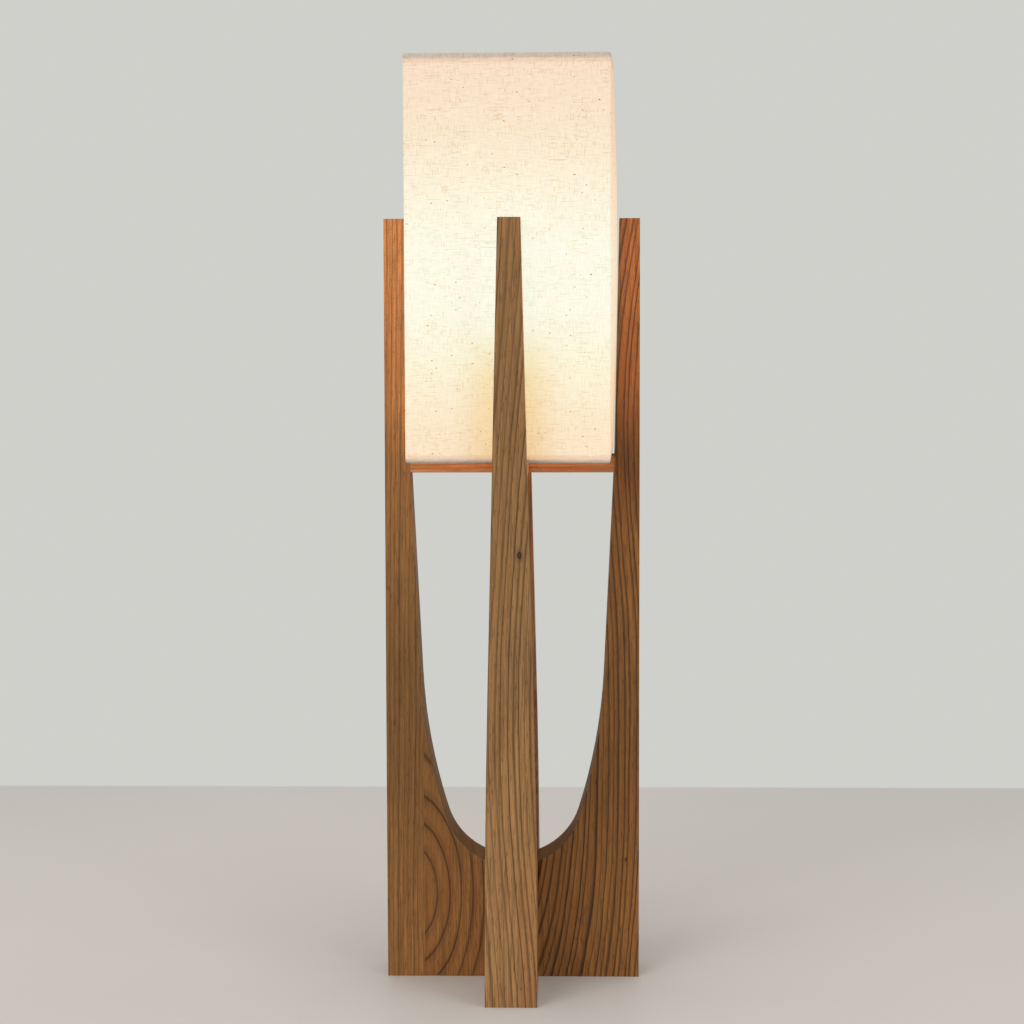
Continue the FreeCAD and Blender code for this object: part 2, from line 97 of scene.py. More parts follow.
def colour(red, green, blue):
    """A display colour, 0 to 255, as the linear colour that a shader takes."""
    parts = [share / 255 for share in (red, green, blue)]
    return [part / 12.92 if part < 0.04045 else ((part + 0.055) / 1.055) ** 2.4 for part in parts] + [1]


def scaled(tone, share):
    """A linear colour made darker or lighter."""
    return [min(1, part * share) for part in tone[:3]] + [1]


class Signal:
    """A node's output. Sums, products and powers of signals and numbers add Math nodes."""

    def __init__(self, tree, socket=None):
        self.tree = tree
        self.socket = socket

    def node(self, kind, settings, values, output=0):
        """Adds a node: its settings first, then the values or signals of its input sockets."""
        made = self.tree.nodes.new(kind)
        for name, setting in settings.items():
            if name == "stops":
                for _ in setting[2:]:
                    made.color_ramp.elements.new(1)
                for element, (place, stop) in zip(made.color_ramp.elements, setting):
                    element.position = place
                    element.color = stop
            else:
                setattr(made, name, setting)
        for name, value in values.items():
            if isinstance(value, Signal):
                self.tree.links.new(value.socket, made.inputs[name])
            else:
                made.inputs[name].default_value = value
        return Signal(self.tree, made.outputs[output])

    def math(self, operation, *values):
        """One Math node on signals and numbers."""
        return self.node("ShaderNodeMath", {"operation": operation}, dict(enumerate(values)))

    def __add__(self, other):
        return self.math("ADD", self, other)

    __radd__ = __add__

    def __sub__(self, other):
        return self.math("SUBTRACT", self, other)

    def __rsub__(self, other):
        return self.math("SUBTRACT", other, self)

    def __mul__(self, other):
        return self.math("MULTIPLY", self, other)

    __rmul__ = __mul__

    def __truediv__(self, other):
        return self.math("DIVIDE", self, other)

    def __pow__(self, other):
        return self.math("POWER", self, other)

    def parts(self):
        """The three numbers of a vector."""
        split = self.node("ShaderNodeSeparateXYZ", {}, {0: self})
        return [Signal(self.tree, socket) for socket in split.socket.node.outputs]

    def step(self, low, high):
        """Goes smoothly from 0 to 1 as this signal goes from low to high."""
        values = {"Value": self, "From Min": low, "From Max": high}
        return self.node("ShaderNodeMapRange", {"interpolation_type": "SMOOTHSTEP"}, values)

    def place(self, output="Object"):
        """Where on the piece a point is, or another output of Texture Coordinate."""
        return self.node("ShaderNodeTexCoord", {}, {}, output)

    def stretched(self, place, along):
        """A place with each of its three numbers scaled."""
        return self.node("ShaderNodeVectorMath", {"operation": "MULTIPLY"}, {0: place, 1: along})

    def noise(self, place, scale, detail=2.0):
        """Smooth noise at a place, around a half."""
        return self.node("ShaderNodeTexNoise", {}, {"Vector": place, "Scale": scale, "Detail": detail})

    def mix(self, share, first, second, blend="MIX"):
        """A colour between two others, or the first multiplied by the second."""
        settings = {"data_type": "RGBA", "blend_type": blend}
        return self.node("ShaderNodeMix", settings, {0: share, 6: first, 7: second}, 2)

    def ramp(self, share, stops):
        """A colour, or a brightness, read from stops along a share from 0 to 1."""
        places = [place for place, _ in stops]
        colours = [stop if isinstance(stop, list) else [stop, stop, stop, 1] for _, stop in stops]
        return self.node("ShaderNodeValToRGB", {"stops": list(zip(places, colours))}, {"Fac": share})

    def bump(self, height, strength, distance):
        """A normal that follows a height."""
        values = {"Strength": strength, "Distance": distance, "Height": height}
        return self.node("ShaderNodeBump", {}, values)


def finish(name, fixed):
    """A new material: its Principled shader with fixed values, and a signal that adds nodes."""
    material = bpy.data.materials.new(name)
    material.use_nodes = True
    shader = material.node_tree.nodes["Principled BSDF"]
    for socket, value in fixed.items():
        shader.inputs[socket].default_value = value
    return material, shader, Signal(material.node_tree)


def feed(shader, signals):
    """Links signals into a shader's sockets."""
    for socket, signal in signals.items():
        signal.tree.links.new(signal.socket, shader.inputs[socket])


def new_piece(name, mesh, material):
    """Puts a mesh with one material in the scene."""
    piece = bpy.data.objects.new(name, mesh)
    bpy.context.scene.collection.objects.link(piece)
    mesh.materials.clear()
    mesh.materials.append(material)
    return piece


def soft_box(name, place, aim, width, power, tint):
    """A square studio lamp at a place, turned towards a point."""
    data = bpy.data.lights.new(name, "AREA")
    data.size = width
    data.energy = power
    data.color = tint
    lamp = bpy.data.objects.new(name, data)
    turn = (Vector(place) - Vector(aim)).to_track_quat("Z", "Y")
    lamp.matrix_world = Matrix.Translation(place) @ turn.to_matrix().to_4x4()
    lamp.visible_camera = False
    bpy.context.scene.collection.objects.link(lamp)


wall_colour = colour(207, 208, 203)
floor_dark = colour(199, 194, 187)
floor_pale = colour(203, 198, 192)
floor_gloss = {"Roughness": 0.5, "Specular IOR Level": 0.2}
floor_finish, floor_shader, floor_adds = finish("floor_finish", floor_gloss)
floor_place = floor_adds.place()
floor_blotches = floor_adds.noise(floor_place, 1.7, 3.0).step(0.2, 0.8)
feed(floor_shader, {"Base Color": floor_adds.mix(floor_blotches, floor_dark, floor_pale)})
wall_light = floor_adds.node("ShaderNodeEmission", {}, {"Color": wall_colour})
wall_start = wall_distance - wall_edge_softness
wall_full = wall_distance + wall_edge_softness
behind = floor_place.parts()[1].step(wall_start, wall_full)
floor_light = Signal(floor_adds.tree, floor_shader.outputs[0])
floor_and_wall = floor_adds.node("ShaderNodeMixShader", {}, {0: behind, 1: floor_light, 2: wall_light})
feed(floor_finish.node_tree.nodes["Material Output"], {"Surface": floor_and_wall})

floor_shape = bmesh.new()
bmesh.ops.create_grid(floor_shape, x_segments=8, y_segments=8, size=floor_reach)
floor_mesh = bpy.data.meshes.new("floor")
floor_shape.to_mesh(floor_mesh)
floor_shape.free()
new_piece("floor", floor_mesh, floor_finish)

world = bpy.data.worlds.new("room_light")
bpy.context.scene.world = world
world.use_nodes = True
world_adds = Signal(world.node_tree)
by_camera, by_gloss = [
    world_adds.node("ShaderNodeLightPath", {}, {}, way) for way in ("Is Camera Ray", "Is Glossy Ray")
]
seen = world_adds.math("MINIMUM", by_camera + by_gloss, 1.0)
white_light = world_adds.node("ShaderNodeBackground", {}, {"Color": (1, 1, 1, 1), "Strength": world_light})
wall_above = world_adds.node("ShaderNodeBackground", {}, {"Color": wall_colour, "Strength": 1.0})
room_light = world_adds.node("ShaderNodeMixShader", {}, {0: seen, 1: white_light, 2: wall_above})
feed(world.node_tree.nodes["World Output"], {"Surface": room_light})

soft_box("key_light", key_place, lamp_middle, key_width, key_power, (1.0, 0.99, 0.97))
soft_box("fill_light", fill_place, lamp_middle, fill_width, fill_power, (0.92, 0.97, 1.0))


# Wooden panels
# Each panel is glued up from boards of a brown softwood with dark summer rings, sawn to the arch,
# tapered and eased by hand along its outer edges, then oiled.

edge_ease = 0.0012
ease_steps = 3
crisp_angle = math.radians(35)
flat_angle = math.radians(0.05)
squarely = 0.9
merge_gap = 0.000001
cut_gap = 0.00001
hidden_facet = 0.00003
joint_tolerance = 0.0002
joint_margin = 0.001
halving_rise = 0.04
halving_tolerance = 0.004
foot_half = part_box("left_stave")[1].y
stave_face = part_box("left_stave")[1].x
halving_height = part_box("panel_dowels")[0].z + halving_rise
bar_low, bar_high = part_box("side_crossbar")[0].z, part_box("side_crossbar")[1].z
bar_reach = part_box("side_crossbar")[1].x + joint_margin
bar_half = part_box("side_crossbar")[1].y
panel_face = -0.0246

year_stops = [
    (0.00, 0.30), (0.10, 0.00), (0.45, 0.06), (0.68, 0.25), (0.82, 0.90), (0.92, 1.00), (1.00, 0.30),
]
bend_softness = 0.16
fan_softness = 0.08
knot_stretch = 0.6
inward_painted_shade = 0.35
end_grain_and_shade_strength = 0.55
end_grain_and_shade_tone = 0.30
edge_wear_and_highlight_strength = 0.28
edge_wear_and_highlight_tone = 1.5

# Line is the colour of the dark summer wood. The pith is the middle of the rings at the floor, across
# and through the board, and lean is how far it drifts with each metre of height, up to fan_top. A bend
# is a wave in the grain: its size, middle height, length and start. Ring is the width of a year.
# Uneven, narrow and fair say how much the years differ, how thin their dark part is and how dark the
# palest is. Painted shading scales the tone at places along the grain: painted light and shade for
# where the lamps and the shade's glow light the uprights unevenly. Knots give a place and a size.
boards = {
    "left_stave": {
        "slot": "wood_stave",
        "tone": colour(150, 103, 54),
        "line": colour(70, 40, 19),
        "pith": (0.230, -0.030),
        "lean": (0.010, 0.0),
        "ring": 0.0050,
        "strength": 0.72,
        "painted_shading": [
            (0.07, 1.00, 1.00, 1.00),
            (0.20, 0.71, 0.74, 0.68),
            (0.32, 0.67, 0.71, 0.61),
            (0.43, 0.86, 0.90, 0.88),
            (0.50, 0.92, 0.95, 0.95),
            (0.67, 0.90, 0.88, 0.84),
        ],
    },
    "left_web": {
        "slot": "wood_web",
        "tone": colour(148, 99, 50),
        "line": colour(66, 37, 15),
        "pith": (-0.0983, panel_face - 0.085 * 0.47),
        "lean": (0.0, 0.47),
        "fan_top": 0.220,
        "ring": 0.0116,
        "uneven": 0.3,
        "narrow": 2.0,
        "fair": 0.85,
        "strength": 0.90,
        "painted_shading": [
            (0.05, 1.02, 1.02, 1.02),
            (0.12, 0.92, 0.96, 0.94),
            (0.18, 0.82, 0.90, 0.87),
            (0.28, 0.70, 0.80, 0.76),
            (0.42, 0.82, 0.87, 0.84),
            (0.55, 0.92, 0.93, 0.92),
        ],
    },
    "right_board": {
        "slot": "wood_board",
        "tone": colour(138, 91, 40),
        "line": colour(44, 24, 9),
        "pith": (-0.006, panel_face - 0.200 * 0.28),
        "lean": (0.0, 0.28),
        "fan_top": 0.200,
        "bend": (0.0216, 0.545, 0.800, 0.380),
        "ring": 0.0054,
        "fair": 0.65,
        "strength": 1.0,
        "painted_shading": [
            (0.09, 1.02, 1.02, 1.00),
            (0.20, 0.79, 0.78, 0.68),
            (0.32, 0.83, 0.84, 0.78),
            (0.44, 0.88, 0.84, 0.68),
            (0.50, 0.63, 0.56, 0.38),
            (0.53, 0.56, 0.48, 0.32),
            (0.57, 0.84, 0.71, 0.61),
            (0.67, 0.96, 0.79, 0.65),
        ],
        "knots": [(0.1120, 0.1190, 0.0010)],
    },
    "front_board": {
        "slot": "wood_board",
        "tone": colour(156, 115, 69),
        "line": colour(64, 39, 18),
        "pith": (-0.240, -0.060),
        "lean": (0.0, 0.0),
        "bend": (0.0175, 0.280, 1.100, 0.0),
        "ring": 0.0060,
        "strength": 1.0,
        "painted_shading": [
            (0.06, 1.00, 0.97, 1.00),
            (0.18, 0.94, 0.95, 0.94),
            (0.30, 0.83, 0.82, 0.78),
            (0.43, 0.82, 0.83, 0.80),
            (0.58, 0.75, 0.76, 0.73),
            (0.69, 0.80, 0.78, 0.73),
        ],
        "knots": [(0.0092, 0.4360, 0.0021)],
    },
    "back_web": {
        "slot": "wood_web",
        # Its tone is darker than the left web's: painted shade where the front board shades it.
        "tone": colour(128, 84, 44),
        "line": colour(70, 40, 18),
        "pith": (panel_face - 0.120 * 0.40, 0.070),
        "lean": (0.40, 0.02),
        "ring": 0.0080,
        "strength": 0.9,
    },
    "back_stave": {
        "slot": "wood_stave",
        "tone": colour(149, 104, 57),
        "line": colour(88, 55, 26),
        "pith": (0.180, 0.020),
        "lean": (0.006, 0.0),
        "ring": 0.0051,
        "strength": 0.8,
    },
}


def wood_finish(name, board, axes=(0, 1, 2)):
    """Sawn wood as a solid: rings round a pith line, dark summer wood, and fibres along the grain.

    The axes are those across the rings, through them, and along the grain.
    """
    material, shader, adds = finish(name, {"Specular IOR Level": 0.3})
    place = adds.place()
    parts = place.parts()
    across, depth, along = [parts[axis] for axis in axes]

    def grain(scale, shortened, detail=2.0):
        """Noise drawn out along the grain."""
        stretch = [1.0, 1.0, 1.0]
        stretch[axes[2]] = shortened
        return adds.noise(adds.stretched(place, stretch), scale, detail)

    bend, bend_middle, bend_length, bend_start = board.get("bend", (0.0, 0.0, 1.0, 0.0))
    bent = adds.math("SMOOTH_MAX", along, bend_start, bend_softness) - bend_middle
    wave = bent * (2 * math.pi / bend_length)
    wander = (grain(22.0, 0.12) - 0.5) * 0.010 + (grain(70.0, 0.30) - 0.5) * 0.0016
    side = across - board["pith"][0] - along * board["lean"][0] + adds.math("COSINE", wave) * bend + wander
    rise = adds.math("SMOOTH_MIN", along, board.get("fan_top", 1.0), fan_softness)
    back = depth - board["pith"][1] - rise * board["lean"][1]
    radius = (side * side + back * back) ** 0.5
    knot = 0.0
    for knot_across, knot_along, size in board.get("knots", []):
        gap = ((across - knot_across) ** 2.0 + ((along - knot_along) * knot_stretch) ** 2.0) ** 0.5
        radius = radius + gap.step(4 * size, 0.0) * (0.5 * size)
        knot = gap.step(1.2 * size, 0.8 * size) - gap.step(0.6 * size, 0.2 * size) * 0.7 + knot
        knot = gap.step(3.0 * size, 0.8 * size) * 0.3 + knot

    turns = radius / board["ring"]
    uneven = adds.node("ShaderNodeTexNoise", {"noise_dimensions": "1D"}, {"W": turns * 0.45, "Scale": 1.0})
    turns = turns + (uneven - 0.5) * board.get("uneven", 1.6)
    year = adds.math("FLOOR", turns)
    luck = adds.node("ShaderNodeTexWhiteNoise", {"noise_dimensions": "1D"}, {"W": year})
    fair = board.get("fair", 0.45)
    late = adds.ramp(adds.math("FRACT", turns) ** board.get("narrow", 1.0), year_stops)
    late = late * (luck * (1 - fair) + fair) * board["strength"]

    fibre = grain(900.0, 0.025, 3.0).step(0.32, 0.68)
    streak = grain(380.0, 0.040).step(0.3, 0.7)
    pores = grain(1100.0, 0.090, 1.0).step(0.58, 0.72)
    ground = adds.mix(fibre * 0.6 + streak * 0.4, scaled(board["tone"], 0.62), scaled(board["tone"], 1.40))
    redder = [part * share for part, share in zip(board["tone"], (1.04, 0.90, 0.80, 1))]
    ground = adds.mix(grain(60.0, 0.060).step(0.35, 0.75) * 0.7, ground, redder)
    tone = adds.mix(late, ground, board["line"])
    tone = adds.mix(pores * 0.45, tone, board["line"])
    if board.get("knots"):
        tone = adds.mix(knot, tone, colour(58, 36, 18))
    # Painted light and shade: the tone is scaled at places along the grain.
    if board.get("painted_shading"):
        painted_shading = [(place_along, [*shares, 1]) for place_along, *shares in board["painted_shading"]]
        tone = adds.mix(1.0, tone, adds.ramp(along, painted_shading), "MULTIPLY")

    # Painted shade on faces that point inward, between the uprights and in the arch; end grain is darker
    # too.
    turns_out = [turn * adds.math("SIGN", part) for turn, part in zip(adds.place("Normal").parts(), parts)]
    inside = adds.math("MINIMUM", turns_out[0], turns_out[1]).step(-0.2, -0.6)
    end_grain_and_painted_shade = adds.math("MAXIMUM", inside * inward_painted_shade, turns_out[axes[2]].step(0.2, 0.6))
    tone = adds.mix(end_grain_and_painted_shade * end_grain_and_shade_strength, tone, scaled(board["tone"], end_grain_and_shade_tone))
    # The eased edges are lighter: partly wear, partly a painted highlight.
    edge_wear_and_highlight = adds.node("ShaderNodeAttribute", {"attribute_name": "eased"}, {}, "Fac") * (1 - end_grain_and_painted_shade)
    tone = adds.mix(edge_wear_and_highlight * edge_wear_and_highlight_strength, tone, scaled(board["tone"], edge_wear_and_highlight_tone))
    bump = adds.bump(fibre * 0.4 + late * 0.6 - pores * 0.5, 0.35, 0.0004)
    rough = 0.58 - edge_wear_and_highlight * 0.10 - late * 0.10 + (fibre - 0.5) * 0.14
    feed(shader, {"Base Color": tone, "Roughness": rough, "Normal": bump})
    return material


def glued(face, node):
    """True for a face inside a joint, where the outside runs on flush into another piece."""
    middle, turn = face.calc_center_median(), face.normal
    lengthwise = "front" in node or "back" in node
    place, facing = (middle.y, turn.y) if lengthwise else (middle.x, turn.x)
    aside = middle.x if lengthwise else middle.y
    if "crossbar" in node:
        lapped = abs(place) < bar_half and bar_low < middle.z - joint_tolerance < bar_high - joint_margin
        return abs(facing) > squarely or (abs(turn.z) > squarely and lapped)
    if abs(turn.z) > squarely and abs(middle.z - halving_height) < halving_tolerance:
        return True
    if abs(facing) < squarely or abs(aside) > foot_half:
        return False
    glue_line = -stave_face if lengthwise else stave_face
    return abs(place - glue_line) < joint_tolerance or abs(place) < foot_half + joint_tolerance


def wood_mesh(node):
    """A wooden node's mesh with its outer edges eased, as far as the clamp lets them, and marked.

    Its glued edges stay crisp.
    """
    shape = bmesh.new()
    shape.from_mesh(nodes[node].data)
    bmesh.ops.remove_doubles(shape, verts=shape.verts, dist=merge_gap)
    bmesh.ops.dissolve_limit(shape, angle_limit=flat_angle, verts=shape.verts, edges=shape.edges)
    if "crossbar" not in node:
        for height in (bar_low, bar_high):
            bmesh.ops.bisect_plane(
                shape, geom=shape.verts[:] + shape.edges[:] + shape.faces[:], dist=cut_gap,
                plane_co=(0, 0, height), plane_no=(0, 0, 1),
            )
    shape.normal_update()
    eased = []
    for edge in shape.edges:
        faces = edge.link_faces
        if len(faces) != 2 or edge.calc_face_angle(0) < crisp_angle:
            continue
        if any(glued(face, node) or face.calc_area() < hidden_facet for face in faces):
            continue
        middle = (edge.verts[0].co + edge.verts[1].co) / 2
        beside_bar = bar_low < middle.z < bar_high and max(abs(middle.x), abs(middle.y)) < bar_reach
        if "crossbar" in node or not beside_bar:
            eased.append(edge)
    mark = shape.faces.layers.float.new("eased_face")
    made = bmesh.ops.bevel(
        shape, geom=eased, offset=edge_ease, offset_type="OFFSET", affect="EDGES", segments=ease_steps,
        profile=0.5, material=-1, clamp_overlap=True,
    )
    for face in made["faces"]:
        face[mark] = 1.0
    mesh = bpy.data.meshes.new(node + "_wood")
    shape.to_mesh(mesh)
    shape.free()
    edge_wear_and_highlight = mesh.attributes.new("eased", "FLOAT", "CORNER")
    for polygon, value in zip(mesh.polygons, mesh.attributes["eased_face"].data):
        for corner in polygon.loop_indices:
            edge_wear_and_highlight.data[corner].value = value.value
    mesh.shade_smooth()
    mesh.set_sharp_from_angle(angle=crisp_angle)
    return mesh


def wooden_piece(node, board, axes=(0, 1, 2)):
    """Stands an eased and grained copy in the place of a wooden node."""
    piece = new_piece(node + "_wood", wood_mesh(node), wood_finish(node + "_finish", board, axes))
    piece.modifiers.new("flat_faces", "WEIGHTED_NORMAL").keep_sharp = True
    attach(piece, "frame")
    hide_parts(node)


for node, board in boards.items():
    wooden_piece(node, board)


# Crossbars and dowels
# Two slim bars of the same wood, halved together where they cross, are dowelled between the
# uprights. The dowels are turned beech and end up hidden in the joints.

bar_wood = {
    "slot": "wood_bar",
    "tone": colour(174, 118, 72),
    "line": colour(118, 76, 42),
    "pith": (0.440, 0.020),
    "lean": (0.0, 0.0),
    "ring": 0.0048,
    "strength": 0.6,
    # Painted shade: each bar darkens from its middle towards its right or back end.
    "painted_shading": [
        (0.00, 1.00, 1.00, 1.00),
        (0.04, 0.83, 0.77, 0.71),
    ],
}
beech = {
    "tone": colour(196, 160, 118),
    "line": colour(170, 132, 90),
    "pith": (0.3, 0.2),
    "lean": (0.0, 0.0),
    "ring": 0.0022,
    "strength": 0.4,
}


def dress(node, material):
    """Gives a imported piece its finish."""
    nodes[node].data.materials.clear()
    nodes[node].data.materials.append(material)


wooden_piece("side_crossbar", bar_wood, (2, 1, 0))
wooden_piece("front_crossbar", bar_wood, (2, 0, 1))
dress("panel_dowels", wood_finish("panel_dowels_finish", beech, (2, 1, 0)))
dress("crossbar_dowels", wood_finish("crossbar_dowels_finish", beech, (2, 1, 0)))


# Threaded nipple with its nut, washer and cord bushing
# A zinc-plated steel tube, threaded all along, holds the bulb holder down on the crossing of the bars
# with a nut and washer from below. A black nylon bushing is pressed into its lower end.

nipple_pitch = 0.001
nipple_thread_depth = 0.0006
nipple_bore = 0.0035
bore_margin = 0.0001
turning_sectors = 48
thread_steps = 8


def grained_finish(name, tone, fixed, size, uneven=0.06, relief=0.12):
    """A smooth surface with a faint unevenness in its colour, gloss and height."""
    material, shader, adds = finish(name, fixed)
    cloud = adds.noise(adds.place(), 0.1 / size, 3.0)
    fine = adds.noise(adds.place(), 1 / size, 2.0)
    base = adds.mix((cloud + fine) * 0.5, scaled(tone, 1 - 2 * uneven), scaled(tone, 1 + uneven))
    rough = (fine + cloud - 1.0) * 0.14 + fixed["Roughness"]
    feed(shader, {"Base Color": base, "Roughness": rough, "Normal": adds.bump(fine, relief, size / 5)})
    return material


def metal(roughness):
    """The fixed values of a bare metal."""
    return {"Roughness": roughness, "Metallic": 1.0}


def turned_mesh(name, outline):
    """A lathe-turned piece from an outline of (radius, height) points, closed unless it starts on the
    centre line."""
    shape = bmesh.new()
    corners = [shape.verts.new((radius, 0, height)) for radius, height in outline]
    pairs = list(zip(corners, corners[1:]))
    if outline[0][0] > 0:
        pairs.append((corners[-1], corners[0]))
    sides = [shape.edges.new(pair) for pair in pairs]
    bmesh.ops.spin(
        shape, geom=corners + sides, cent=(0, 0, 0), axis=(0, 0, 1), angle=2 * math.pi,
        steps=turning_sectors, use_merge=True, use_duplicate=False,
    )
    bmesh.ops.remove_doubles(shape, verts=shape.verts, dist=merge_gap)
    bmesh.ops.recalc_face_normals(shape, faces=shape.faces)
    mesh = bpy.data.meshes.new(name)
    shape.to_mesh(mesh)
    shape.free()
    mesh.shade_smooth()
    mesh.set_sharp_from_angle(angle=crisp_angle)
    return mesh


def climb(low, high, pitch):
    """Heights up a threaded wall, several to each turn of its thread."""
    steps = math.ceil((high - low) / pitch * thread_steps)
    return [low + (high - low) * step / steps for step in range(steps + 1)]


def cut_thread(mesh, low, high, pitch, depth, inside):
    """Presses a thread into the walls outside a radius, fading out at its two ends."""
    for vert in mesh.vertices:
        radius = math.hypot(vert.co.x, vert.co.y)
        if radius <= inside or not low <= vert.co.z <= high:
            continue
        turn = math.atan2(vert.co.y, vert.co.x) - 2 * math.pi * vert.co.z / pitch
        fade = min(1, (vert.co.z - low) / pitch, (high - vert.co.z) / pitch)
        share = 1 - depth * fade * (1 + math.cos(turn)) / 2 / radius
        vert.co.x *= share
        vert.co.y *= share


def fitting(name, mesh, material, node, body):
    """Stands a detailed piece in the place of an imported one."""
    piece = new_piece(name, mesh, material)
    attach(piece, body)
    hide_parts(node)


zinc_finish = grained_finish("zinc_finish", colour(186, 188, 192), metal(0.34), 0.0012)
nylon_finish = grained_finish("black_nylon_finish", colour(38, 38, 40), {"Roughness": 0.5}, 0.0008)

nipple_low, nipple_high = [corner.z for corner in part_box("threaded_nipple")]
nipple_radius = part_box("threaded_nipple")[1].x
nipple_inside = nipple_bore + bore_margin
nipple_walls = [(nipple_radius, height) for height in climb(nipple_low, nipple_high, nipple_pitch)]
nipple_mesh = turned_mesh("nipple", [(nipple_bore, nipple_low), *nipple_walls, (nipple_bore, nipple_high)])
cut_thread(nipple_mesh, nipple_low, nipple_high, nipple_pitch, nipple_thread_depth, nipple_inside)
fitting("nipple_thread", nipple_mesh, zinc_finish, "threaded_nipple", "frame")

nut_low, nut_high = [corner.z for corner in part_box("nipple_nut")]
nut_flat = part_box("nipple_nut")[1].y
nut_chamfer = 0.0005
nut_outline = [
    (nipple_radius, nut_low), (nut_flat, nut_low), (nut_flat, nut_low + nut_chamfer),
    (nut_flat, nut_high - nut_chamfer), (nut_flat, nut_high), (nipple_radius, nut_high),
]
nut_mesh = turned_mesh("nut", nut_outline)
for vert in nut_mesh.vertices:
    angle = math.atan2(vert.co.y, vert.co.x) % (math.pi / 3) - math.pi / 6
    on_face = min(vert.co.z - nut_low, nut_high - vert.co.z) < joint_tolerance
    if math.hypot(vert.co.x, vert.co.y) > nut_flat - joint_tolerance and not on_face:
        vert.co.x /= math.cos(angle)
        vert.co.y /= math.cos(angle)
fitting("hexagon_nut", nut_mesh, zinc_finish, "nipple_nut", "frame")
dress("nipple_washer", zinc_finish)
dress("cord_bushing", nylon_finish)


# Bulb holder
# A two-part holder of moulded plastic, clamped round a glazed ceramic core. The core carries the
# brass screw shell, the bent contact strip in its middle, and two terminal screws underneath.

thread_pitch = 0.00362
shell_wall = 0.0004
shell_hole = 0.0075
shell_floor_margin = 0.001


def thin_cup(name, radius, low, high, wall, hole=0):
    """A turned cup of thin metal, cut finely enough for its thread, with a hole in its floor or none."""
    outer = [(radius, height) for height in climb(low, high, thread_pitch)]
    inner = [(radius - wall, height) for height in climb(low + wall, high, thread_pitch)]
    return turned_mesh(name, [(hole, low), *outer, *reversed(inner), (hole, low + wall)])


holder_finish = grained_finish("holder_plastic_finish", colour(232, 230, 222), {"Roughness": 0.42}, 0.0009)
ceramic_finish = grained_finish(
    "ceramic_finish", colour(228, 225, 212), {"Roughness": 0.16, "Coat Weight": 0.5}, 0.0025, 0.04, 0.05
)
brass_finish = grained_finish("brass_finish", colour(206, 168, 96), metal(0.3), 0.0015)
dress("holder_cap", holder_finish)
dress("holder_skirt", holder_finish)
dress("holder_insert", ceramic_finish)
dress("centre_contact", brass_finish)
dress("terminal_screws", brass_finish)

shell_low, shell_high = [corner.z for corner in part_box("screw_shell")]
shell_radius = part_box("screw_shell")[1].x
shell_inside = shell_hole + shell_floor_margin
shell_mesh = thin_cup("shell", shell_radius, shell_low, shell_high, shell_wall, shell_hole)
cut_thread(shell_mesh, shell_low, shell_high, thread_pitch, shell_wall / 2, shell_inside)
fitting("rolled_screw_shell", shell_mesh, brass_finish, "screw_shell", "frame")


# Bulb
# A lit bulb: tin tip, black insulator, nickel-plated cap with a rolled thread, white flared housing
# with its two boards inside, and a glowing opal globe.

cap_wall = 0.0005
cap_thread_depth = 0.0009
globe_glow = colour(255, 226, 178)
globe_brightness = 1.4

tin_finish = grained_finish("tin_finish", colour(190, 191, 196), metal(0.38), 0.0008)
glass_black_finish = grained_finish("insulator_finish", colour(30, 28, 30), {"Roughness": 0.2}, 0.001)
nickel_finish = grained_finish("nickel_finish", colour(200, 197, 190), metal(0.26), 0.0012)
housing_finish = grained_finish("housing_finish", colour(236, 236, 232), {"Roughness": 0.36}, 0.0009)
driver_finish = grained_finish("driver_board_finish", colour(40, 104, 58), {"Roughness": 0.4}, 0.003, 0.2)
led_gloss = {"Roughness": 0.4, "Metallic": 0.8}
led_finish = grained_finish("led_board_finish", colour(204, 204, 206), led_gloss, 0.002)
opal_finish = grained_finish("opal_finish", colour(250, 244, 230), {"Roughness": 0.3}, 0.004, 0.02, 0.05)
opal_shader = opal_finish.node_tree.nodes["Principled BSDF"]
opal_shader.inputs["Emission Color"].default_value = globe_glow
opal_shader.inputs["Emission Strength"].default_value = globe_brightness
dress("bulb_tip_contact", tin_finish)
dress("bulb_insulator", glass_black_finish)
dress("bulb_housing", housing_finish)
dress("driver_board", driver_finish)
dress("led_board", led_finish)
dress("bulb_globe", opal_finish)

cap_low, cap_high = [corner.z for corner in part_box("bulb_cap")]
cap_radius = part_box("bulb_cap")[1].x
cap_thread_top = cap_high - thread_pitch / 2
cap_mesh = thin_cup("cap", cap_radius, cap_low, cap_high, cap_wall)
cut_thread(cap_mesh, cap_low, cap_thread_top, thread_pitch, cap_thread_depth, cap_radius / 2)
fitting("bulb_screw_cap", cap_mesh, nickel_finish, "bulb_cap", "bulb")


# Linen of the shade
# One sheet of slubbed linen goes round the square, laps over itself at the back left corner, and is
# rolled over a wire ring at the top and the bottom. Its ends are glued down inside.

shade_low, shade_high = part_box("shade_fabric")[0].z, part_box("shade_fabric")[1].z
shade_half = 0.0973
shade_corner = 0.003
shade_bow = 0.005
shade_turn = math.radians(-1.8)
shade_offset = 0.0007
cloth_thickness = 0.0005
roll_radius = 0.0022
hem_length = 0.0085
hem_depth = 0.0017
lap_length = 0.010
lap_rise = 0.002
cloth_unevenness = 0.00012
unlit_bottom, unlit_top = -0.0004, 0.0011
lit_start, lit_full = -0.0002, 0.0034
fold_full, fold_end = 0.0044, 0.0070
wood_bounce_width, wood_bounce_height = (0.055, 0.015), (0.36, 0.18)
upright_light_width, upright_light_height = (0.042, 0.014), (0.74, 0.54)

roll_length = math.pi * roll_radius
wall_length = shade_high - shade_low - 2 * roll_radius
cloth_length = wall_length + 2 * roll_length + 2 * hem_length
side_length = 2 * (shade_half - shade_corner)
corner_length = shade_corner * math.pi / 2
round_length = 4 * (side_length + corner_length)
cloth_start = 2 * (side_length + corner_length) - corner_length


